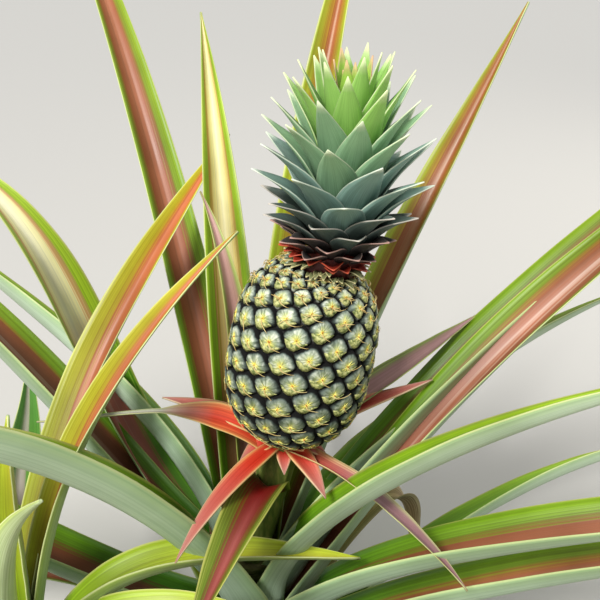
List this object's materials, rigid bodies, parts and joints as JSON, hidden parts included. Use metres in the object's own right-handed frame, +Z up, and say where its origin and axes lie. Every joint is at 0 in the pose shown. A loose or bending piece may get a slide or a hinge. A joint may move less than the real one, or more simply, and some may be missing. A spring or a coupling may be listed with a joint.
{
  "type": "pineapple plant",
  "caption": "Whole fruiting pineapple plant rooted in level ground: rosette of long channelled striped leaves, side shoot, stalk with red bracts, fruit and crown.",
  "frame": {"origin": "centre of the flat cut under the main stem, at ground level", "axes": "+Z up along the main stem; -Y is the side the picture was taken from, +X is to the right seen from there"},
  "size_m": [1.243, 1.1095, 0.802],
  "materials": {
    "stem": "matte, leaf scars",
    "stalk": "satin",
    "fruit_skin": "satin, waxy eyes",
    "crown_leaf": "waxy satin",
    "bract": "satin",
    "stalk_leaf": "satin",
    "leaf_blade": "satin upper side, waxy under side",
    "shoot_leaf": "satin upper side, waxy under side",
    "dry_leaf": "matte"
  },
  "bodies": {
    "root": {"bract_collar": "bract", "crown": "crown_leaf", "fruit": "fruit_skin", "fruit_stalk": "stalk", "leaf_back_inner": "leaf_blade", "leaf_back_left": "leaf_blade", "leaf_back_low_1": "leaf_blade", "leaf_back_low_2": "leaf_blade", "leaf_back_low_3": "leaf_blade", "leaf_back_right": "leaf_blade", "leaf_back_tall": "leaf_blade", "leaf_front_01": "leaf_blade", "leaf_front_02": "leaf_blade", "leaf_front_03": "leaf_blade", "leaf_front_04": "leaf_blade", "leaf_front_05": "leaf_blade", "leaf_front_06": "leaf_blade", "leaf_front_07": "leaf_blade", "leaf_front_08": "leaf_blade", "leaf_front_09": "leaf_blade", "leaf_front_10": "leaf_blade", "leaf_front_left": "leaf_blade", "leaf_front_right": "leaf_blade", "leaf_left_low": "leaf_blade", "leaf_left_middle": "leaf_blade", "leaf_left_silver": "leaf_blade", "leaf_left_under": "leaf_blade", "leaf_left_upper": "leaf_blade", "leaf_right_inner": "leaf_blade", "leaf_right_long": "leaf_blade", "leaf_right_low": "leaf_blade", "leaf_right_middle": "leaf_blade", "leaf_right_short": "leaf_blade", "leaf_right_under": "leaf_blade", "leaf_right_upper": "leaf_blade", "leaf_shoot_01": "shoot_leaf", "leaf_shoot_02": "shoot_leaf", "leaf_shoot_03": "shoot_leaf", "leaf_shoot_04": "shoot_leaf", "leaf_shoot_05": "shoot_leaf", "leaf_shoot_06": "shoot_leaf", "leaf_shoot_07": "shoot_leaf", "leaf_shoot_08": "shoot_leaf", "leaf_shoot_09": "shoot_leaf", "leaf_shoot_back": "shoot_leaf", "leaf_shoot_front": "shoot_leaf", "leaf_shoot_inner": "shoot_leaf", "leaf_shoot_right": "shoot_leaf", "leaf_shoot_tall": "shoot_leaf", "leaf_withered": "dry_leaf", "shoot_runner": "stem", "shoot_stem": "stem", "stalk_leaf_1": "stalk_leaf", "stalk_leaf_2": "stalk_leaf", "stalk_leaf_3": "stalk_leaf", "stalk_leaf_4": "stalk_leaf", "stalk_leaf_5": "stalk_leaf", "stem": "stem"}
  },
  "joints": []
}
